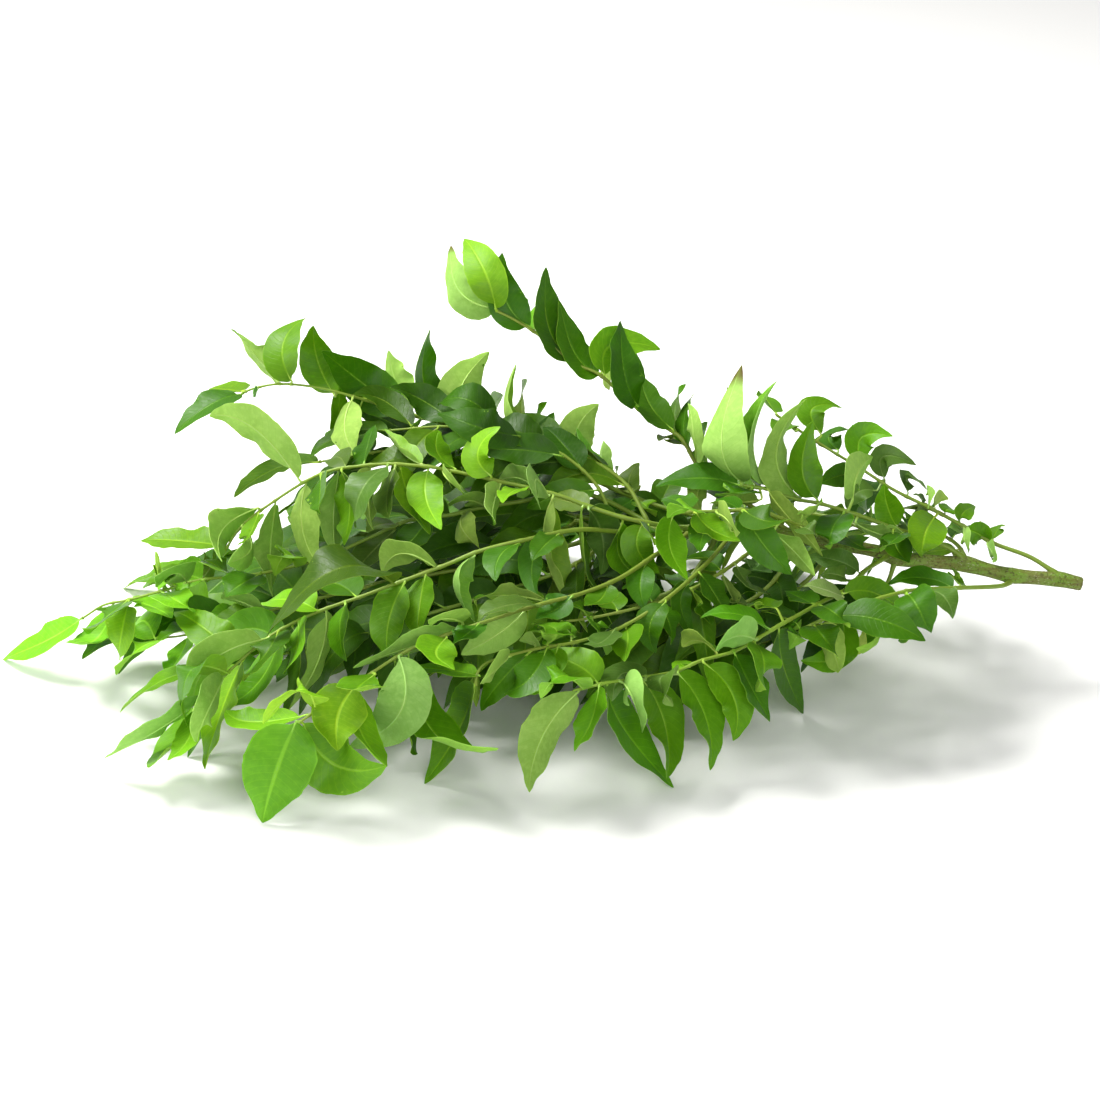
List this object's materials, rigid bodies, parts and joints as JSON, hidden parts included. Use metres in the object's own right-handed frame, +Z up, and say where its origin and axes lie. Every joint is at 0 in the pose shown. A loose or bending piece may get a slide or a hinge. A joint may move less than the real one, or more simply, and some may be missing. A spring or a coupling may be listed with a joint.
{
  "type": "curry leaf sprig",
  "caption": "Cut curry leaf sprig: a woody stem with long pinnate leaves of pointed leaflets, lying on the tips of its lower leaflets.",
  "frame": {"origin": "centre of the bounding box at its base, on the surface that the sprig lies on", "axes": "+X along the sprig towards the cut end of the stem, +Y to the back, +Z up"},
  "size_m": [0.4612, 0.2772, 0.1723],
  "materials": {
    "stem": "olive bark with fine grey-brown specks, greener at the swollen leaf joints, pale cut end",
    "leaf": "smooth waxy green leaflets, darker and glossy above, paler and duller below, on olive-green stalks"
  },
  "bodies": {
    "root": {"main_stem": "stem", "leaf_01": "leaf", "leaf_02": "leaf", "leaf_03": "leaf", "leaf_04": "leaf", "leaf_05": "leaf", "leaf_06": "leaf", "leaf_07": "leaf", "leaf_08": "leaf", "leaf_09": "leaf", "leaf_10": "leaf", "leaf_11": "leaf", "leaf_12": "leaf", "leaf_13": "leaf", "leaf_14": "leaf", "leaf_15": "leaf", "leaf_16": "leaf", "leaf_17": "leaf", "leaf_18": "leaf", "leaf_19": "leaf", "leaf_20": "leaf", "leaf_21": "leaf", "leaf_22": "leaf", "leaf_23": "leaf", "leaf_24": "leaf", "leaf_25": "leaf", "terminal_leaf": "leaf"}
  },
  "joints": []
}
